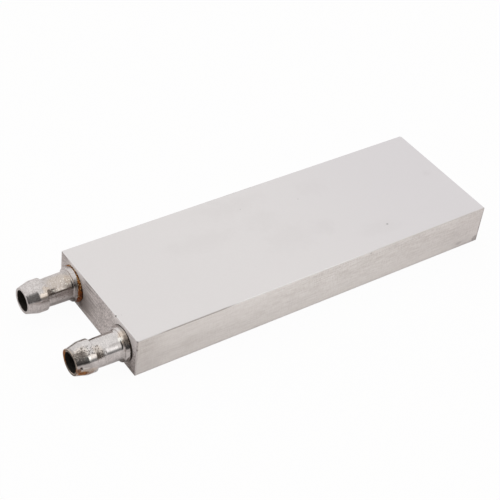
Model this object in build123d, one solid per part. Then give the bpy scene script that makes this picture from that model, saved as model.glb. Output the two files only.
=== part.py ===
from build123d import *
import math
import os

# A flat liquid cooling block: an extruded aluminium bar with water passages through it, a plate closing each
# end, and two turned steel hose barbs pressed side by side into the plate at one end.
# Sizes are in millimetres. The origin is the middle of the lower cooling face. X runs along the block and the
# hose barbs stand out of its low end, Y runs across it, and Z is up through its thickness.

# The block as a whole, with its end plates
BLOCK_LENGTH = 120.0
BLOCK_WIDTH = 40.0
BLOCK_HEIGHT = 12.5
PORT_PLATE = 6.0
FAR_PLATE = 3.0

# Edges and corners: a light break all round, and one corner of the far end that wear has rounded
EDGE_BREAK = 0.15
END_BREAK = 0.1
CORNER_BREAK = 0.25
WORN_CORNER = 0.8

# Walls round the water, and the fins that stand in it
FACE_WALL = 2.5
SIDE_WALL = 3.0
MIDDLE_WEB = 3.0
FIN_COUNT = 5
FIN_THICKNESS = 0.8
CHANNEL_CORNER = 0.3
PORT_POCKET = 8.0
TURN_POCKET = 9.0

# Hose barb, from the block's end face outwards. Its flange narrows from the face to its front.
PORT_INSET = 6.9
BORE_RADIUS = 3.0
FLANGE_RADIUS = 5.1
FLANGE_FRONT_RADIUS = 4.85
FLANGE_THICKNESS = 1.7
FLANGE_CHAMFER = 0.12
NECK_RADIUS = 4.0
NECK_CHAMFER = 0.45
BARB_REACH = 15.5
HEAD_RADIUS = 4.6
HEAD_LENGTH = 5.95
HEAD_LAND = 2.3
SHOULDER_CHAMFER = 0.15
NOSE_ROUND = 2.0
MOUTH_RADIUS = 3.7
MOUTH_CHAMFER = 0.12

# Hose barb inside the end plate
TAIL_RADIUS = 4.0
TAIL_LENGTH = 5.2
TAIL_CHAMFER = 0.4
SOCKET_CLEARANCE = 0.03

# Bead of brown sealing compound round each flange. FOOT is how far it spreads over the block's face, and
# LOW and HIGH are how far it climbs the flange on its thin and its heavy side. The heavy side's angle is
# counted from straight up towards +Y.
BEAD_CLEARANCE = 0.02
BEAD_TOP = 0.1
INLET_BEAD_FOOT = 0.2
INLET_BEAD_LOW = 0.35
INLET_BEAD_HIGH = 0.5
OUTLET_BEAD_FOOT = 0.35
OUTLET_BEAD_LOW = 0.6
OUTLET_BEAD_HIGH = 1.5
BEAD_HEAVY_ANGLE = 240.0

PORT_FACE_X = -BLOCK_LENGTH / 2
BAR_LOW_X = PORT_FACE_X + PORT_PLATE
BAR_HIGH_X = BLOCK_LENGTH / 2 - FAR_PLATE
MIDDLE_Z = BLOCK_HEIGHT / 2
PORT_Y = BLOCK_WIDTH / 2 - PORT_INSET
PASSAGE_WIDTH = (BLOCK_WIDTH - 2 * SIDE_WALL - MIDDLE_WEB) / 2
PASSAGE_HEIGHT = BLOCK_HEIGHT - 2 * FACE_WALL
PASSAGE_Y = (MIDDLE_WEB + PASSAGE_WIDTH) / 2
CHANNEL_COUNT = FIN_COUNT + 1
CHANNEL_WIDTH = (PASSAGE_WIDTH - FIN_COUNT * FIN_THICKNESS) / CHANNEL_COUNT
SIDES = {"inlet": -1, "outlet": 1}


def slab(low_x, high_x):
    """The block's outer section between two places along it, with its four long edges broken."""
    box = Box(high_x - low_x, BLOCK_WIDTH, BLOCK_HEIGHT)
    box = Pos((low_x + high_x) / 2, 0, MIDDLE_Z) * box
    return chamfer(box.edges().filter_by(Axis.X), EDGE_BREAK)


def pocket(low_x, high_x, width, y):
    """A rectangular space of the passages' height, rounded where its sides meet roof and floor."""
    box = Box(high_x - low_x, width, PASSAGE_HEIGHT)
    box = fillet(box.edges().filter_by(Axis.X), CHANNEL_CORNER)
    return Pos((low_x + high_x) / 2, y, MIDDLE_Z) * box


def channel_body():
    """The extruded bar: finned channels on both sides of a solid web, opened up at both ends."""
    bar = slab(BAR_LOW_X, BAR_HIGH_X)
    for side in SIDES.values():
        for i in range(CHANNEL_COUNT):
            from_web = (i + 0.5) * CHANNEL_WIDTH + i * FIN_THICKNESS
            bar -= pocket(BAR_LOW_X, BAR_HIGH_X, CHANNEL_WIDTH, side * (MIDDLE_WEB / 2 + from_web))
        bar -= pocket(BAR_LOW_X, BAR_LOW_X + PORT_POCKET, PASSAGE_WIDTH, side * PASSAGE_Y)
    turn_width = 2 * PASSAGE_WIDTH + MIDDLE_WEB
    bar -= pocket(BAR_HIGH_X - TURN_POCKET, BAR_HIGH_X, turn_width, 0)
    return bar


def port_end_plate():
    """The thick plate at the port end, with a socket drilled through it for each barb's tail."""
    plate = slab(PORT_FACE_X, BAR_LOW_X)
    plate = chamfer(plate.faces().sort_by(Axis.X)[0].edges(), END_BREAK)
    for side in SIDES.values():
        socket = Cylinder(TAIL_RADIUS + SOCKET_CLEARANCE, PORT_PLATE)
        plate -= Pos((PORT_FACE_X + BAR_LOW_X) / 2, side * PORT_Y, MIDDLE_Z) * Rot(0, 90, 0) * socket
    return plate


def far_end_plate():
    """The thin plate that closes the other end. Of its upright corners the one at +Y is worn the most."""
    plate = slab(BAR_HIGH_X, BLOCK_LENGTH / 2)
    for radius, side in ((CORNER_BREAK, 0), (WORN_CORNER, -1)):
        corners = plate.edges().filter_by(Axis.Z).group_by(Axis.X)[-1]
        plate = fillet(corners.sort_by(Axis.Y)[side], radius)
    return chamfer(plate.faces().sort_by(Axis.X)[-1].edges(), END_BREAK)


def corner_at(profile, x, radius):
    """The corner of a flat profile that lies nearest to a place."""
    return min(profile.vertices(), key=lambda v: math.hypot(v.X - x, v.Y - radius))


def barb_profile():
    """Half the barb's lengthways section. X is 0 at the block's face, and the mouth is at the low end."""
    shoulder_x = HEAD_LENGTH - BARB_REACH
    land_end_x = shoulder_x - HEAD_LAND
    outline = Polyline(
        (-BARB_REACH, BORE_RADIUS),
        (TAIL_LENGTH, BORE_RADIUS),
        (TAIL_LENGTH, TAIL_RADIUS),
        (0, TAIL_RADIUS),
        (0, FLANGE_RADIUS),
        (-FLANGE_THICKNESS, FLANGE_FRONT_RADIUS),
        (-FLANGE_THICKNESS, NECK_RADIUS),
        (shoulder_x, NECK_RADIUS),
        (shoulder_x, HEAD_RADIUS),
        (land_end_x, HEAD_RADIUS),
        (-BARB_REACH, MOUTH_RADIUS),
        close=True,
    )
    profile = make_face(outline)
    profile = fillet(corner_at(profile, land_end_x, HEAD_RADIUS), NOSE_ROUND)
    for x, radius, size in (
        (TAIL_LENGTH, TAIL_RADIUS, TAIL_CHAMFER),
        (-FLANGE_THICKNESS, FLANGE_FRONT_RADIUS, FLANGE_CHAMFER),
        (-FLANGE_THICKNESS, NECK_RADIUS, NECK_CHAMFER),
        (shoulder_x, HEAD_RADIUS, SHOULDER_CHAMFER),
        (-BARB_REACH, MOUTH_RADIUS, MOUTH_CHAMFER),
        (-BARB_REACH, BORE_RADIUS, MOUTH_CHAMFER),
    ):
        profile = chamfer(corner_at(profile, x, radius), size)
    return profile


def barb(side):
    """One hose barb, turned in one piece and bored through, in its place."""
    return Pos(PORT_FACE_X, side * PORT_Y, MIDDLE_Z) * revolve(barb_profile(), Axis.X)


def flange_radius_at(height):
    """The flange's radius at a height over the block's face."""
    return FLANGE_RADIUS - (FLANGE_RADIUS - FLANGE_FRONT_RADIUS) * height / FLANGE_THICKNESS


def seal_bead(side, foot, low, high):
    """A bead that tapers off the flange and climbs it unevenly, from low to high across the barb."""
    foot_radius = FLANGE_RADIUS + foot
    on_face = (Align.CENTER, Align.CENTER, Align.MIN)
    ring = Cone(foot_radius, flange_radius_at(high) + BEAD_TOP, high, align=on_face)
    ring -= Cone(FLANGE_RADIUS + BEAD_CLEARANCE, flange_radius_at(high) + BEAD_CLEARANCE, high, align=on_face)
    tilt = math.degrees(math.atan2(high - low, 2 * foot_radius))
    reach = 4 * foot_radius
    cover = Box(reach, reach, reach, align=on_face)
    cover = Rot(0, 0, BEAD_HEAVY_ANGLE) * Pos(0, 0, (low + high) / 2) * Rot(0, -tilt, 0) * cover
    ring -= cover
    return Pos(PORT_FACE_X, side * PORT_Y, MIDDLE_Z) * Rot(0, -90, 0) * ring


def main():
    shapes = {
        "channel_body": channel_body(),
        "port_end_plate": port_end_plate(),
        "far_end_plate": far_end_plate(),
        "inlet_seal_bead": seal_bead(SIDES["inlet"], INLET_BEAD_FOOT, INLET_BEAD_LOW, INLET_BEAD_HIGH),
        "outlet_seal_bead": seal_bead(SIDES["outlet"], OUTLET_BEAD_FOOT, OUTLET_BEAD_LOW, OUTLET_BEAD_HIGH),
    }
    for name, side in SIDES.items():
        shapes[name + "_barb"] = barb(side)
    os.makedirs("parts", exist_ok=True)
    for name, shape in shapes.items():
        export_step(shape, f"parts/{name}.step")


main()
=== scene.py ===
import math

import bpy
from mathutils import Matrix, Vector, noise


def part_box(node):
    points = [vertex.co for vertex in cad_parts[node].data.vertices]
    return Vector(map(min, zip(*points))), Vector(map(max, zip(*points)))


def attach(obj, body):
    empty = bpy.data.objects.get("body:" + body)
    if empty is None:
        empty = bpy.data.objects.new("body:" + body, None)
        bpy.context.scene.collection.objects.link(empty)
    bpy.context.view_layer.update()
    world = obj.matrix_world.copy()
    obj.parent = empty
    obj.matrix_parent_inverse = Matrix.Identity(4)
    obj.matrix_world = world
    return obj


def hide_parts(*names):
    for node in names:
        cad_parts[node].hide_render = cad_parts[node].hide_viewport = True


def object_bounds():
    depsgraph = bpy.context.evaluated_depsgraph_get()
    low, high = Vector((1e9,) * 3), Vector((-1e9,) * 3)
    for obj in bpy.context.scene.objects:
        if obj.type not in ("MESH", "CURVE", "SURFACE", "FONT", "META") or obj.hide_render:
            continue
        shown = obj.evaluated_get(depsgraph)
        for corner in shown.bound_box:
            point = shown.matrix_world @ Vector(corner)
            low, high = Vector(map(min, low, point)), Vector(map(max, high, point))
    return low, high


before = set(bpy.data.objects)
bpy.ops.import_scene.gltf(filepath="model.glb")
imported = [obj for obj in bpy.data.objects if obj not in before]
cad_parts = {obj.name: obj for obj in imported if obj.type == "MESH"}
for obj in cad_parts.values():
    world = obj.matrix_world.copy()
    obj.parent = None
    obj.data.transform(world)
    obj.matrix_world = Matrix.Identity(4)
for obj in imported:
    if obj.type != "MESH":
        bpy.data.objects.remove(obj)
cad_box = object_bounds()

# A liquid cooling block with two hose barbs, on a pale floor in soft studio light.
# The scene is in metres, and places and sizes written in millimetres are multiplied by MM.
MM = 0.001

# Camera: where it stands, which way it looks, how far it is tilted over, its lens in millimetres, and the
# nearest and farthest that it sees in metres.
CAMERA_PLACE = Vector((-205.09, -233.93, 265.77)) * MM
CAMERA_AZIMUTH = math.radians(39.719)
CAMERA_ELEVATION = math.radians(40.214)
CAMERA_ROLL = math.radians(8.13)
CAMERA_LENS = 101.61
CAMERA_NEAREST = 0.01
CAMERA_FARTHEST = 20
SENSOR_WIDTH = 36.0

# Studio: compass angles are counted from -Y towards +X, and heights are angles over the horizon.
# The dark flag and the dim horizon each begin, are full, start to fade and end at four angles of either kind.
FLOOR_SIZE = 8.0
FLOOR_COLOUR = (0.90, 0.85, 0.84)
FLOOR_WHITE = 0.96
FLOOR_MIRRORED_WHITE = 0.22
FLAG_COMPASS = (-75, -60, 12, 14)
FLAG_HEIGHT = (3, 6, 56, 76)
FLAG_STRENGTH = 0.09
HORIZON_COMPASS = (-90, -60, 45, 90)
HORIZON_HEIGHT = (-6, 3, 11, 24)
HORIZON_STRENGTH = 0.25
SOFTBOX_COMPASS = 19.5
SOFTBOX_HEIGHT = 35
SOFTBOX_DISTANCE = 1.0
SOFTBOX_WIDTH = 0.23
SOFTBOX_DEPTH = 0.39
SOFTBOX_POWER = 0.11

# The port end's face and the barbs' axes in metres, read from the CAD parts.
END_FACE_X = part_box("port_end_plate")[0].x
AXES = {}
for side_name in ("inlet", "outlet"):
    low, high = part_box(side_name + "_barb")
    AXES[side_name] = Vector((END_FACE_X, (low.y + high.y) / 2, (low.z + high.z) / 2))

# The block's faces in millimetres, read from the CAD parts. Its underside is at 0 and its middle plane at Y
# 0.
PORT_END = END_FACE_X / MM
FAR_END = cad_box[1][0] / MM
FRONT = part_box("channel_body")[0].y / MM
BACK = -FRONT
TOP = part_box("channel_body")[1].z / MM

# Hose barb in millimetres, outwards from the block's end face.
BORE_RADIUS = 3.0
FLANGE_RADIUS = 5.1
FLANGE_FRONT_RADIUS = 4.85
FLANGE_THICKNESS = 1.7
FLANGE_ROUND = 0.12
NECK_RADIUS = 4.0
NECK_ROOT_RADIUS = 4.08
NECK_ROOT_TO = 6.0
NECK_ROUND = 0.6
BARB_REACH = 15.5
HEAD_RADIUS = 4.6
HEAD_LENGTH = 5.95
HEAD_LAND = 2.6
NOSE_ROUND = 2.5
SHOULDER_ROUND = 0.24
SHOULDER_FOOT_ROUND = 0.12
NECK_RELIEF = 0.15
NECK_RELIEF_FROM = 7.3
NECK_RELIEF_ROUND = 15.0
MOUTH_RADIUS = 3.7
MOUTH_ROUND = 0.14
TAIL_RADIUS = 4.0
TAIL_LENGTH = 5.2
TAIL_CHAMFER = 0.4

# Where a barb's skin starts to be uneven: this far out from the face, and this far off the bore. What lies no
# farther than the tolerance off the bore's radius is the bore's own wall.
UNEVEN_FROM = 0.02
UNEVEN_OFF_BORE = 0.3
BORE_TOLERANCE = 0.001

# Dents, and bulges where the depth is below 0. A row holds a place as millimetres out and degrees round, half
# sizes out and round in millimetres, and the depth.
INLET_DENTS = (
    (14.3, 168.0, 0.5, 0.5, 0.32),
    (13.4, 170.5, 1.0, 0.3, 0.06),
    (15.3, 12.0, 0.7, 2.4, -0.28),
)

# Beads in millimetres: how far each spreads over the face and climbs the flange at least, then its swells,
# each as height, centre angle and half width in degrees.
INLET_FOOT = (0.03, ())
INLET_CLIMB = (0.18, ((0.42, 171, 62),))
OUTLET_FOOT = (0.04, ((0.29, 198, 70), (0.2, 63, 18)))
OUTLET_CLIMB = (0.4, ((0.4, 145, 48), (0.95, 195, 68)))

# A bead's underside and inner side lie this far off the face and the flange.
BEAD_GAP = 0.01

# Lumps along a bead: how closely the large and the fine ones lie, the fine ones' share, how far a bead's seed
# shifts them, and how much they change its foot and its climb.
LUMP_GRAIN = 9.0
FINE_LUMP_GRAIN = 25.0
FINE_LUMP_SHARE = 0.5
LUMP_SHIFT = 0.02
LUMPS_IN_FOOT = 0.25
LUMPS_IN_CLIMB = 0.18

# How finely the barbs and beads are divided.
AROUND = 240
CORNER_STEPS = 5
LONGEST_STEP = 0.16
BEAD_SECTIONS = 9


class Graph:
    """A node tree, built from its inputs to its output. An input takes a value or another node's socket."""

    def __init__(self, tree):
        self.tree = tree
        tree.nodes.clear()

    def node(self, kind, inputs=None, **settings):
        made = self.tree.nodes.new(kind)
        for name, value in settings.items():
            setattr(made, name, value)
        for key, value in (inputs or {}).items():
            if isinstance(value, bpy.types.NodeSocket):
                self.tree.links.new(value, made.inputs[key])
            else:
                made.inputs[key].default_value = value
        return made

    def math(self, operation, first, second=0.0, third=0.0):
        return self.node("ShaderNodeMath", {0: first, 1: second, 2: third}, operation=operation).outputs[0]

    def plus(self, first, second):
        return self.math("ADD", first, second)

    def minus(self, first, second):
        return self.math("SUBTRACT", first, second)

    def times(self, first, second):
        return self.math("MULTIPLY", first, second)

    def vector(self, operation, first, second):
        return self.node("ShaderNodeVectorMath", {0: first, 1: second}, operation=operation).outputs[0]

    def length(self, vector):
        return self.node("ShaderNodeVectorMath", {0: vector}, operation="LENGTH").outputs["Value"]

    def split(self, vector):
        return self.node("ShaderNodeSeparateXYZ", {0: vector}).outputs

    def place(self):
        """Where a point lies in the part's own frame, in millimetres."""
        metres = self.node("ShaderNodeTexCoord").outputs["Object"]
        return self.vector("MULTIPLY", metres, (1 / MM, 1 / MM, 1 / MM))

    def ease(self, value, low, high, start=0.0, end=1.0):
        """Goes smoothly from start to end while the value goes from low to high."""
        inputs = {"Value": value, "From Min": low, "From Max": high, "To Min": start, "To Max": end}
        return self.node("ShaderNodeMapRange", inputs, interpolation_type="SMOOTHSTEP").outputs[0]

    def window(self, value, rise_from, rise_to, fall_from, fall_to):
        """1 between the rise and the fall, and 0 outside them."""
        risen = self.ease(value, rise_from, rise_to)
        return self.times(risen, self.ease(value, fall_from, fall_to, 1.0, 0.0))

    def mix(self, factor, first, second):
        """From the first colour to the second, each given as red, green and blue or as a socket."""
        first, second = ((*part, 1) if isinstance(part, tuple) else part for part in (first, second))
        return self.node("ShaderNodeMix", {0: factor, 6: first, 7: second}, data_type="RGBA").outputs[2]

    def noise(self, vector, stretch, detail=2.0, roughness=0.5):
        """Noise whose grain is finer along an axis where stretch, in grains per millimetre, is larger."""
        inputs = {"Vector": self.vector("MULTIPLY", vector, stretch), "Scale": 1.0, "Detail": detail}
        inputs["Roughness"] = roughness
        return self.node("ShaderNodeTexNoise", inputs).outputs[0]

    def cells(self, vector, scale):
        """Distance to the nearest of points strewn at random, and a random grey for each."""
        node = self.node("ShaderNodeTexVoronoi", {"Vector": vector, "Scale": scale})
        return node.outputs["Distance"], self.split(node.outputs["Color"])[0]

    def largest(self, values):
        most = values[0]
        for value in values[1:]:
            most = self.math("MAXIMUM", most, value)
        return most

    def bump(self, height, distance, normal=None):
        inputs = {"Height": height, "Distance": distance, "Strength": 1.0}
        if normal is not None:
            inputs["Normal"] = normal
        return self.node("ShaderNodeBump", inputs).outputs[0]

    def surface(self, shader):
        self.node("ShaderNodeOutputMaterial", {"Surface": shader})

    def principled(self, inputs):
        self.surface(self.node("ShaderNodeBsdfPrincipled", inputs).outputs[0])


def new_material(name):
    """A material and the graph of its nodes."""
    material = bpy.data.materials.new(name)
    material.use_nodes = True
    return material, Graph(material.node_tree)


def make_camera():
    """The camera. It starts by looking straight down, and is rolled, tipped up and turned, in this order."""
    data = bpy.data.cameras.new("camera")
    data.sensor_width = SENSOR_WIDTH
    data.lens = CAMERA_LENS
    data.clip_start = CAMERA_NEAREST
    data.clip_end = CAMERA_FARTHEST
    camera = bpy.data.objects.new("camera", data)
    turn = Matrix.Rotation(-CAMERA_AZIMUTH, 3, "Z")
    turn = turn @ Matrix.Rotation(math.pi / 2 - CAMERA_ELEVATION, 3, "X")
    turn = turn @ Matrix.Rotation(CAMERA_ROLL, 3, "Z")
    camera.matrix_world = Matrix.Translation(CAMERA_PLACE) @ turn.to_4x4()
    bpy.context.scene.collection.objects.link(camera)
    bpy.context.scene.camera = camera


# Colours of the aluminium's top, its sides, its ends, its upper front edge and the marks on it.
TOP_DARK = (0.742, 0.714, 0.707)
TOP_LIGHT = (0.771, 0.743, 0.736)
TOP_GRAIN = (0.60, 0.57, 0.56)
TOP_FAR = (0.698, 0.670, 0.681)
SIDE_DARK = (0.76, 0.725, 0.69)
SIDE_LIGHT = (1.0, 0.98, 0.95)
SIDE_BY_PORTS = (0.45, 0.40, 0.36)
SIDE_FAR = (0.53, 0.47, 0.465)
# Painted light that brightens the sides low down, against the darker floor that they mirror there.
SIDE_LOW_PAINTED_LIGHT = (1.0, 0.97, 0.94)
SIDE_FOOT = (0.45, 0.42, 0.40)
SIDE_FAR_EDGE = (0.30, 0.27, 0.26)
SIDE_PORT_EDGE = (0.30, 0.25, 0.22)
SIDE_UNDER_EDGE = (1.0, 0.975, 0.945)
END_DARK = (0.42, 0.375, 0.36)
END_LIGHT = (0.86, 0.80, 0.775)
END_SCORES = (0.25, 0.21, 0.19)
END_GREY = (0.42, 0.38, 0.36)
# Painted light on the port end over the ports and high up in front, and the colour of its darker patches.
END_PAINTED_LIGHT = (1.0, 0.95, 0.93)
END_DARKER = (0.16, 0.12, 0.10)
# Painted highlight and painted shade on the upper front edge, then its warm tints towards the far end.
EDGE_PAINTED_HIGHLIGHT = (1.0, 0.985, 0.97)
EDGE_WARM = (0.80, 0.765, 0.70)
EDGE_WARM_FAR = (0.68, 0.64, 0.59)
EDGE_PAINTED_SHADE = (0.16, 0.12, 0.09)
SPECK = (0.10, 0.08, 0.07)
CLOUDING = (0.42, 0.38, 0.37)

# Grain of the aluminium's noises, in grains per millimetre along, across and up.
SATIN_GRAIN = (2.2, 2.2, 2.2)
SATIN_CLOUD = (0.09, 0.09, 0.09)
SIDE_BRUSHING = (0.22, 2.6, 2.6)
SIDE_CROSSING = (2.0, 0.5, 0.5)
SIDE_CLOUD = (0.07, 0.3, 0.3)
END_BRUSHING = (2.6, 0.14, 2.6)
END_MOTTLE = (2.4, 2.4, 1.6)
END_CLOUD = (0.5, 0.25, 0.5)
MARK_WOBBLE = (1.5, 1.5, 1.5)
CLOUD_DRIFT = (0.35, 0.35, 0.35)

# Where tints, painted light and painted shade of the sides, the port end and the front edge begin, are
# full, start to fade and end, in millimetres along, across or up. The painted light over the ports is
# counted from the middle to both sides.
UNDER_EDGE_ALONG = (-58.0, -50.0, -25.0, 0.0)
SCORES_ACROSS = (-4.0, 4.0, 8.0, 14.0)
OVER_PORTS_ACROSS = (6.0, 9.0, 14.0, 18.0)
BY_OUTLET_ACROSS = (1.0, 7.0, 9.0, 12.0)
BY_OUTLET_UP = (0.0, 3.0, 4.5, 10.0)
# Where the painted highlight and the painted shade lie along the front edge.
EDGE_HIGHLIGHT_ALONG = (-31.0, -26.0, 5.0, 25.0)
EDGE_SHADE_ALONG = (-55.0, -50.0, -34.0, -29.0)

# How deep the aluminium's scratches are in millimetres, how rough its faces and its ends are, how much
# clouding roughens them, and how metallic its ends look under their dirt.
SCRATCH_DEPTH = 0.01
FACE_ROUGH = 0.38
END_ROUGH = 0.62
CLOUD_ROUGH = 0.08
END_METALLIC = 0.25

# Specks on the block: place in millimetres, size, and how strongly each shows. A speck is full up to this
# share of its size, and fades from there.
SPECK_CORE = 0.35
BLOCK_SPECKS = (
    ((28.6, -12.35, TOP), 0.5, 0.42),
    ((11.9, 8.9, TOP), 0.3, 0.22),
    ((-6.0, 12.6, TOP), 0.3, 0.2),
    ((16.8, FRONT, 11.9), 0.5, 0.25),
    ((PORT_END, -9.05, 12.4), 0.36, 0.9),
    ((PORT_END, FRONT, 12.3), 0.5, 0.6),
    ((PORT_END, FRONT, 10.8), 0.4, 0.5),
    ((PORT_END, FRONT, 9.4), 0.5, 0.85),
    ((-58.5, -9.5, TOP), 0.25, 0.2),
    ((59.0, FRONT, 1.3), 1.6, 0.44),
    ((PORT_END, 9.0, 2.2), 1.8, 0.6),
)

# Clouding on the block: place in millimetres, half sizes along, across and up, and how strongly it shows. It
# is full up to the first share of its half sizes, and gone at the second.
CLOUD_CORE = 0.2
CLOUD_EDGE = 1.3
BLOCK_CLOUDS = (
    ((-31.0, 5.5, TOP), (5.0, 3.5, 9.0), 0.05),
    ((-23.0, 5.5, TOP), (11.0, 4.0, 9.0), 0.05),
    ((-9.0, 15.0, TOP), (13.0, 5.0, 9.0), 0.06),
    ((-3.0, 5.0, TOP), (6.0, 5.0, 9.0), 0.05),
    ((0.0, -4.0, TOP), (9.0, 6.0, 9.0), 0.05),
    ((11.5, -5.0, TOP), (4.0, 3.5, 9.0), 0.065),
    ((19.0, 11.5, TOP), (6.0, 4.0, 9.0), 0.04),
    ((26.0, -12.5, TOP), (8.0, 3.5, 9.0), 0.05),
    ((55.0, 1.2, TOP), (2.0, 1.6, 9.0), 0.08),
    ((52.8, FRONT, 1.8), (1.8, 9.0, 0.8), 0.45),
    ((54.8, FRONT, 5.0), (0.9, 9.0, 1.8), 0.3),
    ((-5.0, BACK, TOP), (16.0, 0.4, 0.5), 0.35),
    ((FAR_END, FRONT, 5.0), (0.6, 0.6, 9.0), 0.85),
    ((58.0, FRONT, 6.0), (11.0, 0.6, 11.0), 0.17),
    ((58.0, FRONT, 0.3), (6.0, 9.0, 1.4), 0.3),
    ((PORT_END, FRONT, 10.4), (0.35, 0.35, 2.4), 0.5),
    ((56.0, FRONT, 4.8), (0.22, 9.0, 2.4), 0.3),
    ((57.3, FRONT, 5.4), (0.2, 9.0, 2.2), 0.25),
    ((58.4, FRONT, 5.0), (0.2, 9.0, 2.4), 0.3),
    ((-58.0, FRONT, 2.5), (6.0, 0.6, 4.5), 0.2),
    ((PORT_END, 5.0, 5.0), (9.0, 2.4, 3.4), 0.3),
)


def speck_marks(g, place, wobble):
    """How strongly the strongest speck shows here."""
    found = []
    for spot, size, strength in BLOCK_SPECKS:
        away = g.plus(g.length(g.vector("SUBTRACT", place, spot)), g.times(wobble, size))
        found.append(g.ease(away, size * SPECK_CORE, size, strength, 0.0))
    return g.largest(found)


def cloud_marks(g, place, wobble):
    """How strongly the strongest clouding shows here."""
    found = []
    for spot, halves, strength in BLOCK_CLOUDS:
        away = g.length(g.vector("DIVIDE", g.vector("SUBTRACT", place, spot), halves))
        found.append(g.ease(g.plus(away, wobble), CLOUD_CORE, CLOUD_EDGE, strength, 0.0))
    return g.largest(found)


def top_tint(g, place, grain, cloud):
    """The top and underside: satin, clouded very faintly, and a little darker towards the far end."""
    along = g.split(place)[0]
    colour = g.mix(cloud, TOP_DARK, TOP_LIGHT)
    colour = g.mix(g.times(grain, 0.14), colour, TOP_GRAIN)
    return g.mix(g.ease(along, -20.0, FAR_END, 0.0, 0.8), colour, TOP_FAR)


def side_tint(g, place, streaks):
    """The long sides: brushed lengthwise, greyer towards both ends, painted light low down, darker at the
    edges.
    """
    along, _, up = g.split(place)
    cross = g.noise(place, SIDE_CROSSING, 3.0, 0.7)
    cloud = g.noise(place, SIDE_CLOUD, 3.0, 0.6)
    tone = g.plus(g.times(streaks, 0.5), g.times(cross, 0.3))
    tone = g.plus(tone, g.times(cloud, 0.2))
    colour = g.mix(g.ease(tone, 0.38, 0.62), SIDE_DARK, SIDE_LIGHT)
    colour = g.mix(g.ease(along, PORT_END, -8.0, 0.30, 0.0), colour, SIDE_BY_PORTS)
    colour = g.mix(g.ease(along, 0.0, FAR_END, 0.0, 0.22), colour, SIDE_FAR)
    # Painted light, brighter low down.
    colour = g.mix(g.ease(up, 0.5, 9.0, 0.55, 0.0), colour, SIDE_LOW_PAINTED_LIGHT)
    colour = g.mix(g.ease(up, 0.1, 0.9, 0.25, 0.0), colour, SIDE_FOOT)
    colour = g.mix(g.ease(along, FAR_END - 0.7, FAR_END - 0.2, 0.0, 0.6), colour, SIDE_FAR_EDGE)
    colour = g.mix(g.ease(along, PORT_END + 0.1, PORT_END + 0.5, 0.4, 0.0), colour, SIDE_PORT_EDGE)
    under_edge = g.times(g.window(along, *UNDER_EDGE_ALONG), g.ease(up, 3.5, 8.5, 0.0, 0.5))
    return g.mix(under_edge, colour, SIDE_UNDER_EDGE)


def port_end_tint(g, place, streaks, colour):
    """The port end: scored, grey, painted light over the ports, darker by the outlet, darker low down in
    front and painted light above that.
    """
    _, across, up = g.split(place)
    scores = g.times(g.window(across, *SCORES_ACROSS), g.ease(streaks, 0.36, 0.52, 0.35, 0.0))
    colour = g.mix(scores, colour, END_SCORES)
    colour = g.mix(g.ease(across, -3.0, 5.0, 0.0, 0.2), colour, END_GREY)
    # Painted light over the ports, where the flanges and barbs shade the face.
    over_ports = g.window(g.math("ABSOLUTE", across), *OVER_PORTS_ACROSS)
    over_ports = g.times(over_ports, g.ease(up, 9.0, 11.8, 0.0, 0.7))
    colour = g.mix(over_ports, colour, END_PAINTED_LIGHT)
    by_outlet = g.times(g.window(across, *BY_OUTLET_ACROSS), g.window(up, *BY_OUTLET_UP))
    colour = g.mix(g.times(by_outlet, 0.6), colour, END_DARKER)
    by_front = g.ease(across, FRONT + 3.0, FRONT + 5.0, 1.0, 0.0)
    colour = g.mix(g.times(by_front, g.ease(up, 0.0, 8.5, 0.5, 0.0)), colour, END_DARKER)
    # Painted light high up in front, beside the inlet's flange.
    return g.mix(g.times(by_front, g.ease(up, 6.5, 10.0, 0.0, 0.4)), colour, END_PAINTED_LIGHT)


def end_tint(g, place, streaks):
    """The ends: mottled, and brushed crosswise."""
    along, across, _ = g.split(place)
    mottle = g.times(g.noise(place, END_MOTTLE, 3.0, 0.8), 0.75)
    mottle = g.plus(mottle, g.times(g.noise(place, END_CLOUD, 3.0, 0.6), 0.25))
    streaked = g.ease(across, -3.0, 5.0, 0.08, 0.45)
    tone = g.plus(mottle, g.times(streaked, g.minus(streaks, mottle)))
    plain = g.mix(g.ease(tone, 0.41, 0.59), END_DARK, END_LIGHT)
    return g.mix(g.math("LESS_THAN", along, 0.0), plain, port_end_tint(g, place, streaks, plain))


def front_edge_tint(g, place, wobble, colour):
    """The upper front edge: painted shade just under it near the ports, a painted highlight further on, and
    warm at the far end.
    """
    along = g.split(place)[0]
    offset = g.vector("MULTIPLY", g.vector("SUBTRACT", place, (0, FRONT, TOP)), (0, 1, 1))
    to_edge = g.plus(g.length(offset), g.times(wobble, 0.2))
    near_edge = g.ease(to_edge, 0.12, 0.38, 1.0, 0.0)
    # Painted highlight along the edge, where it catches the light.
    bright = g.times(g.window(along, *EDGE_HIGHLIGHT_ALONG), near_edge)
    colour = g.mix(g.times(bright, 0.5), colour, EDGE_PAINTED_HIGHLIGHT)
    warm = g.mix(g.ease(along, 15.0, 45.0), EDGE_WARM, EDGE_WARM_FAR)
    colour = g.mix(g.times(near_edge, g.ease(along, 12.0, 32.0, 0.0, 0.6)), colour, warm)
    # Painted shade in a thin line just under the edge, near the ports.
    to_line = g.plus(g.length(g.vector("ADD", offset, (0, 0, 0.2))), g.times(wobble, 0.15))
    line = g.times(g.window(along, *EDGE_SHADE_ALONG), g.ease(to_line, 0.08, 0.3, 0.5, 0.0))
    return g.mix(line, colour, EDGE_PAINTED_SHADE)


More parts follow.
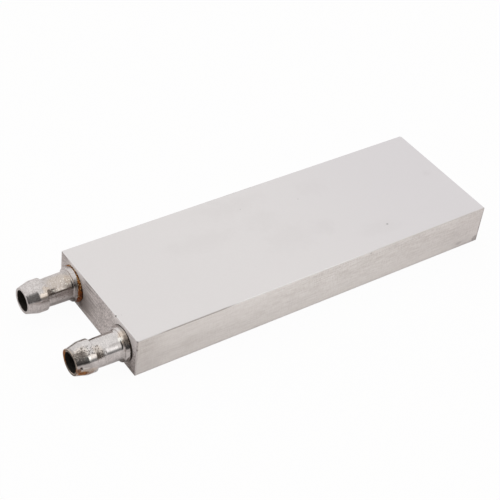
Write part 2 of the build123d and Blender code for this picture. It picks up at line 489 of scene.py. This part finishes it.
def make_aluminium():
    """Ground aluminium: satin on top, brushed lengthwise on the sides and crosswise on the ends."""
    material, g = new_material("ground_aluminium")
    place = g.place()
    normal = g.node("ShaderNodeNewGeometry").outputs["Normal"]
    facing = [g.math("ABSOLUTE", part) for part in g.split(normal)]
    on_side = g.ease(facing[1], 0.75, 0.9)
    on_end = g.ease(facing[0], 0.75, 0.9)
    grain = g.noise(place, SATIN_GRAIN)
    cloud = g.noise(place, SATIN_CLOUD, 3.0, 0.6)
    side_streaks = g.noise(place, SIDE_BRUSHING, 3.0, 0.7)
    end_streaks = g.noise(place, END_BRUSHING, 2.0, 0.6)
    wobble = g.minus(g.noise(place, MARK_WOBBLE), 0.5)
    drift = g.minus(g.noise(place, CLOUD_DRIFT, 4.0, 0.65), 0.5)

    colour = g.mix(on_side, top_tint(g, place, grain, cloud), side_tint(g, place, side_streaks))
    colour = g.mix(on_end, colour, end_tint(g, place, end_streaks))
    colour = front_edge_tint(g, place, wobble, colour)
    colour = g.mix(speck_marks(g, place, wobble), colour, SPECK)
    colour = g.mix(cloud_marks(g, place, g.times(drift, 2.0)), colour, CLOUDING)
    scratched = g.mix(on_side, grain, side_streaks)
    scratched = g.mix(on_end, scratched, end_streaks)
    g.principled(
        {
            "Base Color": colour,
            "Metallic": g.ease(on_end, 0.0, 1.0, 1.0, END_METALLIC),
            "Roughness": g.plus(g.times(cloud, CLOUD_ROUGH), g.ease(on_end, 0.0, 1.0, FACE_ROUGH, END_ROUGH)),
            "Normal": g.bump(scratched, SCRATCH_DEPTH * MM),
        }
    )
    return material


# Colours of the marks on the barbs' steel.
GOLDEN = (0.68, 0.585, 0.50)
MOTTLE_DARK = (0.24, 0.20, 0.18)
MOTTLE_LIGHT = (0.86, 0.83, 0.80)
# Painted highlight, where the steel catches the light.
PAINTED_HIGHLIGHT = (0.95, 0.92, 0.86)
# Stains, and painted shade: the same dark colour darkens creases and parts of the necks' reflections.
STAIN_AND_SHADE = (0.10, 0.075, 0.06)
PIT = (0.06, 0.045, 0.035)
FLECK = (0.97, 0.93, 0.82)
MOUTH_GRIME = (0.09, 0.06, 0.035)
RUST_DARK = (0.13, 0.034, 0.005)
RUST_LIGHT = (0.42, 0.165, 0.035)

# How much lighter and darker than its base colour the steel gets.
STEEL_LIGHTEN = 1.08
STEEL_DARKEN = 0.88

# Grain of the steel's noises, in grains per millimetre along, across and up, and of its pits and flecks.
STEEL_WOBBLE = (1.6, 1.6, 1.6)
STEEL_CLOUD = (0.45, 0.45, 0.45)
TURNED_RINGS = (3.0, 0.35, 0.35)
STEEL_GRAIN = (2.8, 2.8, 2.8)
RUST_GRAIN = (1.8, 1.8, 1.8)
PIT_GRAIN = 2.9

# How high the grain stands and how deep the pits are where the steel is pitted, in millimetres.
GRAIN_HEIGHT = 0.10
PIT_DEPTH = 0.05

# The grime on a mouth's flat ring fades over these distances: off the bore's wall, inwards of the mouth's rim
# and behind the mouth's face, in millimetres. Each pair is where it is gone and where it is full.
GRIME_OFF_BORE = (0.05, 0.2)
GRIME_OFF_RIM = (0.02, 0.15)
GRIME_OFF_FACE = (0.2, 0.05)

# The kinds of mark that a barb's steel can carry, among them painted highlights, and stains that also paint
# shade.
MARK_KINDS = ("golden", "painted_highlight", "stained_and_shaded", "rusty", "pitted", "flecked", "dull")

# How each barb's steel looks. A row of marks holds a place and half sizes, each as millimetres out from the
# block's face and degrees round the barb, and how strongly the mark shows.
INLET_STEEL = {
    "base": (0.68, 0.645, 0.63),
    "rough": 0.12,
    "mouth_stain": 0.95,
    "turned": 0.004,
    "mottled": 0.25,
    "marks": {
        "golden": (
            ((0.9, 116.0), (1.3, 24.0), 1.0),
            ((13.8, 122.0), (2.2, 30.0), 0.55),
            ((8.9, 130.0), (1.4, 24.0), 0.6),
            ((10.8, 136.0), (1.2, 10.0), 0.35),
            ((15.4, 180.0), (0.15, 200.0), 1.0),
            ((12.8, 186.0), (2.4, 10.0), 1.0),
        ),
        # Painted highlights on the flange's fillet, on the lip of the nick and at the start of the nose.
        "painted_highlight": (
            ((2.05, 117.0), (0.5, 8.0), 1.0),
            ((13.3, 171.0), (1.0, 2.4), 0.8),
            ((12.2, 142.0), (0.7, 10.0), 0.8),
        ),
        # Stains, and painted shade in the crease under the flange, over the neck's highlight and by the
        # shoulder.
        "stained_and_shaded": (
            ((9.1, 145.0), (0.7, 14.0), 0.85),
            ((8.1, 148.0), (0.75, 11.0), 0.6),
            ((14.2, 117.0), (1.7, 13.0), 0.62),
            ((13.6, 74.0), (2.0, 14.0), 0.12),
            ((15.1, 90.0), (0.35, 30.0), 0.4),
            ((13.6, 166.0), (2.2, 16.0), 0.32),
            ((15.0, 176.0), (0.5, 12.0), 0.5),
            ((13.0, 185.0), (2.2, 8.0), 0.3),
            ((3.4, 128.0), (2.2, 7.0), 0.26),
            ((2.6, 137.0), (0.7, 9.0), 0.3),
            ((15.3, 298.0), (0.4, 32.0), 0.85),
            ((2.5, 165.0), (0.6, 30.0), 0.15),
            ((1.0, 134.0), (1.0, 14.0), 0.35),
            ((0.9, 158.0), (1.2, 8.0), 0.3),
            ((0.4, 90.0), (0.55, 34.0), 0.45),
            ((14.3, 168.0), (0.35, 5.0), 0.95),
            ((1.8, 223.0), (0.6, 24.0), 0.85),
            ((2.7, 207.0), (0.8, 9.0), 0.5),
            ((0.5, 121.0), (0.8, 12.0), 0.75),
        ),
        "rusty": (
            ((15.2, 358.0), (0.8, 40.0), 1.0),
            ((15.1, 182.0), (0.6, 14.0), 0.75),
            ((13.9, 198.0), (1.4, 13.0), 1.0),
            ((12.8, 200.0), (1.8, 10.0), 0.6),
        ),
        "pitted": (
            ((10.5, 114.0), (2.3, 14.0), 1.0),
            ((13.6, 114.0), (2.2, 20.0), 1.0),
            ((8.2, 142.0), (1.4, 16.0), 1.0),
        ),
        "flecked": (((13.4, 112.0), (2.4, 20.0), 0.5),),
    },
}
OUTLET_STEEL = {
    "base": (0.63, 0.59, 0.575),
    "rough": 0.19,
    "mouth_stain": 0.2,
    "turned": 0.012,
    "mottled": 0.45,
    "marks": {
        "golden": (
            ((5.3, 112.0), (3.4, 36.0), 0.6),
            ((9.4, 130.0), (1.2, 18.0), 1.0),
            ((10.8, 142.0), (1.2, 10.0), 1.0),
            ((2.8, 112.0), (1.0, 20.0), 1.0),
        ),
        # A faint painted highlight on the head.
        "painted_highlight": (((10.8, 133.0), (1.2, 9.0), 0.1),),
        # Stains, and painted shade: the dark line along the neck, the crease under the flange and the patch
        # by the shoulder.
        "stained_and_shaded": (
            ((5.4, 115.0), (4.6, 70.0), 0.13),
            ((3.0, 128.0), (1.0, 22.0), 0.32),
            ((5.8, 147.5), (4.4, 3.4), 0.9),
            ((5.8, 158.0), (4.4, 9.0), 0.16),
            ((5.8, 200.0), (4.6, 15.0), 0.33),
            ((10.7, 150.0), (1.4, 5.0), 0.4),
            ((10.4, 158.0), (1.5, 8.0), 0.2),
            ((8.9, 139.0), (0.7, 14.0), 0.72),
            ((7.9, 138.0), (1.3, 12.0), 0.55),
            ((2.9, 144.0), (1.3, 12.0), 0.75),
            ((2.6, 165.0), (1.4, 40.0), 0.35),
            ((2.4, 88.0), (0.7, 26.0), 0.25),
            ((0.9, 150.0), (1.0, 16.0), 0.35),
            ((3.7, 135.0), (1.2, 8.0), 0.5),
            ((2.3, 218.0), (1.0, 26.0), 0.9),
        ),
        "rusty": (((0.4, 61.0), (0.3, 5.0), 1.0),),
        "pitted": (
            ((5.2, 178.0), (0.4, 4.0), 0.8),
            ((8.5, 138.0), (1.2, 12.0), 0.9),
        ),
        "flecked": (
            ((3.6, 116.0), (1.8, 14.0), 1.0),
            ((6.6, 139.0), (1.4, 6.0), 1.0),
        ),
        "dull": (((13.8, 138.0), (1.9, 18.0), 0.13),),
    },
}

# A patch's soft edge and how ragged it is, as shares of its half size, and how square its oval is.
PATCH_EDGE = 0.35
PATCH_RAGGED = 0.8
PATCH_POWER = 3.0


def barb_place(g, axis):
    """Where a point lies on a barb: its place off the axis, its distance out from the face, and its angle.

    Distances are in millimetres. The angle is in degrees from +Y up over the top, and its seam is at 0.
    """
    place = g.vector("SUBTRACT", g.place(), axis / MM)
    x, y, z = g.split(place)
    turned = g.math("ARCTAN2", g.times(z, -1.0), g.times(y, -1.0))
    angle = g.plus(g.times(turned, 180 / math.pi), 180.0)
    return place, g.times(x, -1.0), angle


def patch(g, out, angle, wobble, at, size):
    """A ragged, rather square oval on a barb, 1 inside it. at and size are a place and half sizes."""
    first = g.math("ABSOLUTE", g.math("DIVIDE", g.minus(out, at[0]), size[0]))
    second = g.math("WRAP", g.minus(angle, at[1]), 180.0, -180.0)
    second = g.math("ABSOLUTE", g.math("DIVIDE", second, size[1]))
    away = g.plus(g.math("POWER", first, PATCH_POWER), g.math("POWER", second, PATCH_POWER))
    away = g.plus(g.math("POWER", away, 1 / PATCH_POWER), g.times(wobble, PATCH_RAGGED))
    return g.ease(away, 1.0 - PATCH_EDGE, 1.0 + PATCH_EDGE, 1.0, 0.0)


def strongest(g, out, angle, wobble, rows):
    """How strongly the strongest of a list of patches shows here, or 0 if the list is empty."""
    found = [0.0]
    for at, size, strength in rows:
        found.append(g.times(patch(g, out, angle, wobble, at, size), strength))
    return g.largest(found)


def pits_and_flecks(g, place, wobble, shown):
    """Small dark pits and small bright flecks, each where the mark of that kind shows."""
    distance, lot = g.cells(place, PIT_GRAIN)
    distance = g.plus(distance, g.times(wobble, 0.3))
    crowd = g.ease(g.plus(lot, g.times(shown["pitted"], 0.6)), 0.9, 1.0)
    crowd = g.times(crowd, g.ease(shown["pitted"], 0.0, 0.2))
    pits = g.times(g.ease(distance, 0.30, 0.55, 1.0, 0.0), crowd)
    flecks = g.times(g.ease(distance, 0.30, 0.50, 1.0, 0.0), g.ease(lot, 0.30, 0.22))
    return pits, g.times(flecks, shown["flecked"])


def mouth_ring(g, place, out):
    """1 on the flat ring round a barb's mouth, and 0 elsewhere."""
    off_axis = g.length(g.vector("MULTIPLY", place, (0, 1, 1)))
    rise_from, rise_to = (BORE_RADIUS + off for off in GRIME_OFF_BORE)
    fall_to, fall_from = (MOUTH_RADIUS - off for off in GRIME_OFF_RIM)
    face_from, face_to = (BARB_REACH - off for off in GRIME_OFF_FACE)
    ring = g.window(off_axis, rise_from, rise_to, fall_from, fall_to)
    return g.times(ring, g.ease(out, face_from, face_to))


def make_barb_steel(name, axis, base, rough, mouth_stain, turned, mottled, marks):
    """Plated steel, turned and a little pitted. marks lists the patches of each kind of mark."""
    material, g = new_material(name)
    place, out, angle = barb_place(g, axis)
    wobble = g.minus(g.noise(place, STEEL_WOBBLE, 4.0, 0.6), 0.5)
    cloud = g.noise(place, STEEL_CLOUD, 3.0, 0.6)
    rings = g.noise(place, TURNED_RINGS, 3.0, 0.7)
    grain = g.noise(place, STEEL_GRAIN, 3.0, 0.7)
    shown = {kind: strongest(g, out, angle, wobble, marks.get(kind, ())) for kind in MARK_KINDS}
    pits, flecks = pits_and_flecks(g, place, wobble, shown)

    light = tuple(min(1.0, part * STEEL_LIGHTEN) for part in base)
    dark = tuple(part * STEEL_DARKEN for part in base)
    tone = g.plus(g.times(cloud, 0.5), g.times(rings, 0.5))
    colour = g.mix(g.ease(tone, 0.38, 0.62), dark, light)
    colour = g.mix(shown["golden"], colour, GOLDEN)
    colour = g.mix(g.ease(grain, 0.32, 0.50, mottled, 0.0), colour, MOTTLE_DARK)
    colour = g.mix(g.ease(grain, 0.50, 0.68, 0.0, mottled), colour, MOTTLE_LIGHT)
    # Painted highlights.
    colour = g.mix(shown["painted_highlight"], colour, PAINTED_HIGHLIGHT)
    # Stains and painted shade.
    colour = g.mix(shown["stained_and_shaded"], colour, STAIN_AND_SHADE)
    colour = g.mix(g.times(pits, 0.9), colour, PIT)
    colour = g.mix(flecks, colour, FLECK)
    colour = g.mix(g.times(mouth_ring(g, place, out), mouth_stain), colour, MOUTH_GRIME)
    rust_tone = g.noise(place, RUST_GRAIN, 3.0, 0.65)
    colour = g.mix(shown["rusty"], colour, g.mix(g.ease(rust_tone, 0.40, 0.60), RUST_DARK, RUST_LIGHT))

    roughness = g.plus(g.times(shown["rusty"], 0.45), g.times(cloud, 0.1))
    heights = g.bump(rings, turned * MM)
    heights = g.bump(g.times(grain, shown["pitted"]), GRAIN_HEIGHT * MM, heights)
    heights = g.bump(pits, -PIT_DEPTH * MM, heights)
    g.principled(
        {
            "Base Color": colour,
            "Metallic": g.minus(1.0, g.math("MAXIMUM", shown["rusty"], shown["dull"])),
            "Roughness": g.plus(roughness, rough),
            "Specular IOR Level": 0.25,
            "Normal": heights,
        }
    )
    return material


# Colours of the bores' walls, painted near-black as shade, and of the sealing compound in each bead.
BORE_DARK = (0.012, 0.011, 0.010)
BORE_LIGHT = (0.05, 0.04, 0.03)
# The inlet's near-black compound is also painted shade of the dark gap round its flange.
INLET_COMPOUND_AND_GAP_SHADE = {
    "dark": (0.025, 0.02, 0.016),
    "light": (0.10, 0.08, 0.065),
    "low": (0.03, 0.024, 0.02),
    "flecks": 0.0,
}
OUTLET_COMPOUND = {
    "dark": (0.06, 0.016, 0.003),
    "light": (0.43, 0.145, 0.02),
    "low": (0.22, 0.045, 0.006),
    "flecks": 0.9,
}
COMPOUND_BLOTCHES = (0.018, 0.009, 0.005)
COMPOUND_ROOT_SHADE = (0.02, 0.012, 0.008)
COMPOUND_FLECKS = (0.85, 0.60, 0.30)

# Grain of the bores and the compound, in grains per millimetre, and how high the compound's grain stands.
BORE_CLOUD = (0.9, 0.9, 0.9)
COMPOUND_GRAIN = (1.5, 1.5, 1.5)
BLOTCH_GRAIN = (0.6, 0.6, 0.6)
FLECK_GRAIN = 2.6
COMPOUND_HEIGHT = 0.12

# The compound's low colour and high flecks meet between these heights, and the painted shade at its root
# fades between these distances off the face, in millimetres.
COMPOUND_LOW_TO_HIGH = (6.5, 9.5)
COMPOUND_ROOT_SHADE_FADE = (0.1, 0.4)


def make_bore_painted_shade():
    """The dull wall inside the barbs' bores, painted near-black as shade."""
    material, g = new_material("bore_painted_shade")
    cloud = g.noise(g.place(), BORE_CLOUD, 3.0)
    g.principled({"Base Color": g.mix(cloud, BORE_DARK, BORE_LIGHT), "Metallic": 0.3, "Roughness": 0.6})
    return material


def make_compound(name, dark, light, low, flecks):
    """Dried sealing compound, mottled from dark to light. Painted shade darkens its root, where it meets the
    face.

    Low down it takes on another colour, and high up it has more flecks.
    """
    material, g = new_material(name)
    place = g.place()
    x, _, z = g.split(place)
    cloud = g.noise(place, COMPOUND_GRAIN, 4.0, 0.7)
    blotches = g.noise(place, BLOTCH_GRAIN, 3.0, 0.6)
    height = g.ease(z, *COMPOUND_LOW_TO_HIGH)
    colour = g.mix(g.ease(cloud, 0.40, 0.57), dark, light)
    colour = g.mix(g.ease(height, 0.0, 1.0, 0.5, 0.0), colour, low)
    colour = g.mix(g.ease(blotches, 0.40, 0.52, 0.8, 0.0), colour, COMPOUND_BLOTCHES)
    off_face = g.minus(PORT_END, x)
    # Painted shade at the root, where the bead meets the face.
    colour = g.mix(g.ease(off_face, *COMPOUND_ROOT_SHADE_FADE, 0.8, 0.0), colour, COMPOUND_ROOT_SHADE)
    distance, lot = g.cells(place, FLECK_GRAIN)
    lot = g.plus(lot, g.times(height, 0.4))
    fleck = g.times(g.ease(distance, 0.3, 0.55, 1.0, 0.0), g.ease(lot, 0.85, 0.95))
    g.principled(
        {
            "Base Color": g.mix(g.times(fleck, flecks), colour, COMPOUND_FLECKS),
            "Roughness": 0.5,
            "Specular IOR Level": 0.2,
            "Normal": g.bump(cloud, COMPOUND_HEIGHT * MM),
        }
    )
    return material


def rounded(corners):
    """An outline whose corners, given as (out, radius, rounding), are replaced by arcs."""
    points = []
    for i, (out, radius, rounding) in enumerate(corners):
        corner = Vector((out, radius))
        if rounding == 0:
            points.append(corner)
            continue
        back = (Vector(corners[i - 1][:2]) - corner).normalized()
        ahead = (Vector(corners[(i + 1) % len(corners)][:2]) - corner).normalized()
        half = back.angle(ahead) / 2
        centre = corner + (back + ahead).normalized() * rounding / math.sin(half)
        first = corner + back * rounding / math.tan(half) - centre
        last = corner + ahead * rounding / math.tan(half) - centre
        sweep = math.atan2(first.x * last.y - first.y * last.x, first.dot(last))
        for step in range(CORNER_STEPS + 1):
            turn = sweep * step / CORNER_STEPS
            x = first.x * math.cos(turn) - first.y * math.sin(turn)
            y = first.x * math.sin(turn) + first.y * math.cos(turn)
            points.append(centre + Vector((x, y)))
    return points


def divided(outline):
    """The same closed outline with its outside stretches cut into short steps."""
    points = []
    for i, point in enumerate(outline):
        points.append(point)
        ahead = outline[(i + 1) % len(outline)]
        if min(point.x, ahead.x) < 0 or max(point.y, ahead.y) <= BORE_RADIUS:
            continue
        steps = math.ceil((ahead - point).length / LONGEST_STEP)
        points += [point.lerp(ahead, step / steps) for step in range(1, steps)]
    return points


def barb_outline():
    """Half the barb's lengthways section, as distance out from the block's face and radius."""
    shoulder = BARB_REACH - HEAD_LENGTH
    corners = [
        (BARB_REACH, BORE_RADIUS, MOUTH_ROUND),
        (BARB_REACH, MOUTH_RADIUS, MOUTH_ROUND),
        (shoulder + HEAD_LAND, HEAD_RADIUS, NOSE_ROUND),
        (shoulder, HEAD_RADIUS, SHOULDER_ROUND),
        (shoulder, NECK_RADIUS - NECK_RELIEF, SHOULDER_FOOT_ROUND),
        (NECK_RELIEF_FROM, NECK_RADIUS, NECK_RELIEF_ROUND),
        (NECK_ROOT_TO, NECK_RADIUS, NECK_RELIEF_ROUND),
        (FLANGE_THICKNESS, NECK_ROOT_RADIUS, NECK_ROUND),
        (FLANGE_THICKNESS, FLANGE_FRONT_RADIUS, FLANGE_ROUND),
        (0, FLANGE_RADIUS, 0),
        (0, TAIL_RADIUS, 0),
        (TAIL_CHAMFER - TAIL_LENGTH, TAIL_RADIUS, 0),
        (-TAIL_LENGTH, TAIL_RADIUS - TAIL_CHAMFER, 0),
        (-TAIL_LENGTH, BORE_RADIUS, 0),
    ]
    return divided(rounded(corners))


def shown_mesh(name, points, faces, materials, picks=None):
    """A smooth mesh that rides on the part's one body. picks says which material each face has."""
    mesh = bpy.data.meshes.new(name)
    mesh.from_pydata(points, [], faces)
    for material in materials:
        mesh.materials.append(material)
    if picks:
        mesh.polygons.foreach_set("material_index", picks)
    mesh.shade_smooth()
    made = bpy.data.objects.new(name, mesh)
    bpy.context.scene.collection.objects.link(made)
    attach(made, "root")
    return made


def ring_faces(rings):
    """Quads between closed rings of points, of which the last joins the first."""
    faces = []
    for i in range(rings):
        ahead = (i + 1) % rings
        for j in range(AROUND):
            beside = (j + 1) % AROUND
            faces.append((i * AROUND + j, i * AROUND + beside, ahead * AROUND + beside, ahead * AROUND + j))
    return faces


def dent_depth(out, angle, radius, dents):
    """How deep the surface lies under the barb's own form at one place, in millimetres."""
    depth = 0.0
    for at_out, at_angle, half_out, half_round, deep in dents:
        aside = math.radians((angle - at_angle + 180) % 360 - 180) * radius
        away = math.hypot((out - at_out) / half_out, aside / half_round)
        depth += deep * max(0.0, 1 - away * away) ** 2
    return depth


def make_barb(side, steel, bore_shade, ripple, ripple_size, dents, seed):
    """One barb, turned from its outline, with its dents and a skin that is uneven by ripple millimetres."""
    axis = AXES[side]
    outline = barb_outline()
    points, picks = [], []
    for out, radius in outline:
        uneven = out > UNEVEN_FROM and radius > BORE_RADIUS + UNEVEN_OFF_BORE
        for j in range(AROUND):
            angle = 360 * j / AROUND
            turn = math.radians(angle)
            depth = 0.0
            if uneven:
                spot = Vector((out, radius * math.cos(turn), radius * math.sin(turn))) / ripple_size
                depth = ripple * (0.5 + 0.5 * noise.noise(spot + Vector((seed, seed, seed))))
                depth += dent_depth(out, angle, radius, dents)
            kept = radius - depth
            points.append(axis + Vector((-out, kept * math.cos(turn), kept * math.sin(turn))) * MM)
    for i, point in enumerate(outline):
        ahead = outline[(i + 1) % len(outline)]
        in_bore = max(point.y, ahead.y) <= BORE_RADIUS + BORE_TOLERANCE
        picks += [1 if in_bore else 0] * AROUND
    barb = shown_mesh(side + "_barb_turned", points, ring_faces(len(outline)), [steel, bore_shade], picks)
    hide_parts(side + "_barb")


def swollen(angle, least, swells):
    """A size at one angle: the least, and each swell, which eases from its centre to 0 at its half width."""
    size = least
    for height, centre, half in swells:
        aside = abs((angle - centre + 180) % 360 - 180)
        size += height * math.cos(math.pi / 2 * min(1.0, aside / half)) ** 2
    return size


def bead_lump(turn, seed):
    """How much a bead is swollen or shrunk by its lumps at one angle, which is in radians."""
    spot = Vector((math.cos(turn), math.sin(turn), LUMP_SHIFT * seed))
    return noise.noise(spot * LUMP_GRAIN) + FINE_LUMP_SHARE * noise.noise(spot * FINE_LUMP_GRAIN)


def make_bead(side, compound, foot, climb, seed):
    """A lumpy ring of compound between the block's face and a flange."""
    axis = AXES[side]
    taper = (FLANGE_RADIUS - FLANGE_FRONT_RADIUS) / FLANGE_THICKNESS
    points = []
    for i in range(BEAD_SECTIONS + 1):
        for j in range(AROUND):
            angle = 360 * j / AROUND
            turn = math.radians(angle)
            lump = bead_lump(turn, seed)
            wide = swollen(angle, *foot) * (1 + LUMPS_IN_FOOT * lump)
            tall = swollen(angle, *climb) * (1 + LUMPS_IN_CLIMB * lump)
            if i == BEAD_SECTIONS:
                out, radius = BEAD_GAP, FLANGE_RADIUS + BEAD_GAP
            else:
                sweep = math.pi / 2 * i / (BEAD_SECTIONS - 1)
                out = BEAD_GAP + tall * math.sin(sweep)
                radius = FLANGE_RADIUS - taper * out + BEAD_GAP + wide * math.cos(sweep)
            points.append(axis + Vector((-out, radius * math.cos(turn), radius * math.sin(turn))) * MM)
    bead = shown_mesh(side + "_bead_lumpy", points, ring_faces(BEAD_SECTIONS + 1), [compound])
    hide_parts(side + "_seal_bead")


def dress_block():
    """The CAD solids of the block itself are shown as they are, in ground aluminium."""
    aluminium = make_aluminium()
    for name in ("channel_body", "port_end_plate", "far_end_plate"):
        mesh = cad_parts[name].data
        mesh.materials.clear()
        mesh.materials.append(aluminium)


def dress_ports():
    """The barbs and beads are replaced by finer ones, with the wear and lumps that the solids leave out."""
    bore_shade = make_bore_painted_shade()
    near = make_barb_steel("inlet_steel", AXES["inlet"], **INLET_STEEL)
    make_barb("inlet", near, bore_shade, ripple=0.010, ripple_size=2.2, dents=INLET_DENTS, seed=3.0)
    far = make_barb_steel("outlet_steel", AXES["outlet"], **OUTLET_STEEL)
    make_barb("outlet", far, bore_shade, ripple=0.012, ripple_size=1.6, dents=(), seed=11.0)
    # The inlet's bead: compound, and painted shade of the gap round the flange.
    black = make_compound("dark_compound_and_gap_shade", **INLET_COMPOUND_AND_GAP_SHADE)
    make_bead("inlet", black, INLET_FOOT, INLET_CLIMB, seed=2.0)
    brown = make_compound("brown_compound", **OUTLET_COMPOUND)
    make_bead("outlet", brown, OUTLET_FOOT, OUTLET_CLIMB, seed=5.0)


def make_floor():
    """A pale matte floor, which camera rays see nearly white with the object's shadow kept on it."""
    half = FLOOR_SIZE / 2
    corners = [(-half, -half, 0), (half, -half, 0), (half, half, 0), (-half, half, 0)]
    mesh = bpy.data.meshes.new("floor")
    mesh.from_pydata(corners, [], [(0, 1, 2, 3)])
    floor = bpy.data.objects.new("floor", mesh)
    bpy.context.scene.collection.objects.link(floor)
    material, g = new_material("floor")
    rays = g.node("ShaderNodeLightPath").outputs
    mirrored = g.math("MAXIMUM", rays["Is Glossy Ray"], rays["Is Transmission Ray"])
    seen = g.times(rays["Is Camera Ray"], FLOOR_WHITE)
    share = g.math("MAXIMUM", seen, g.times(mirrored, FLOOR_MIRRORED_WHITE))
    matte = g.node("ShaderNodeBsdfDiffuse", {"Color": (*FLOOR_COLOUR, 1)}).outputs[0]
    white = g.node("ShaderNodeEmission", {"Color": (1, 1, 1, 1), "Strength": 1.0}).outputs[0]
    g.surface(g.node("ShaderNodeMixShader", {0: share, 1: matte, 2: white}).outputs[0])
    mesh.materials.append(material)


def make_world():
    """A white studio with a dark flag on one side and a dim horizon. Camera rays see plain white."""
    world = bpy.data.worlds.new("studio")
    bpy.context.scene.world = world
    world.use_nodes = True
    g = Graph(world.node_tree)
    x, y, z = g.split(g.node("ShaderNodeTexCoord").outputs["Generated"])
    degree = 180 / math.pi
    compass = g.times(g.math("ARCTAN2", x, g.times(y, -1.0)), degree)
    height = g.times(g.math("ARCSINE", z), degree)
    flag = g.times(g.window(compass, *FLAG_COMPASS), g.window(height, *FLAG_HEIGHT))
    horizon = g.times(g.window(compass, *HORIZON_COMPASS), g.window(height, *HORIZON_HEIGHT))
    flag = g.ease(flag, 0.0, 1.0, 1.0, FLAG_STRENGTH)
    horizon = g.ease(horizon, 0.0, 1.0, 1.0, HORIZON_STRENGTH)
    camera_ray = g.node("ShaderNodeLightPath").outputs["Is Camera Ray"]
    strength = g.math("MAXIMUM", g.times(flag, horizon), camera_ray)
    background = g.node("ShaderNodeBackground", {"Color": (1, 1, 1, 1), "Strength": strength})
    g.node("ShaderNodeOutputWorld", {"Surface": background.outputs[0]})


def make_softbox():
    """A large soft lamp to the right of the camera, aimed at the block."""
    data = bpy.data.lights.new("softbox", "AREA")
    data.shape = "RECTANGLE"
    data.size = SOFTBOX_WIDTH
    data.size_y = SOFTBOX_DEPTH
    data.energy = SOFTBOX_POWER
    softbox = bpy.data.objects.new("softbox", data)
    compass, height = math.radians(SOFTBOX_COMPASS), math.radians(SOFTBOX_HEIGHT)
    level = math.cos(height)
    aim = Vector((math.sin(compass) * level, -math.cos(compass) * level, math.sin(height)))
    softbox.location = aim * SOFTBOX_DISTANCE
    softbox.rotation_mode = "QUATERNION"
    softbox.rotation_quaternion = aim.to_track_quat("Z", "Y")
    bpy.context.scene.collection.objects.link(softbox)


make_camera()
dress_block()
dress_ports()
make_floor()
make_world()
make_softbox()
bpy.context.scene.view_settings.view_transform = "Standard"
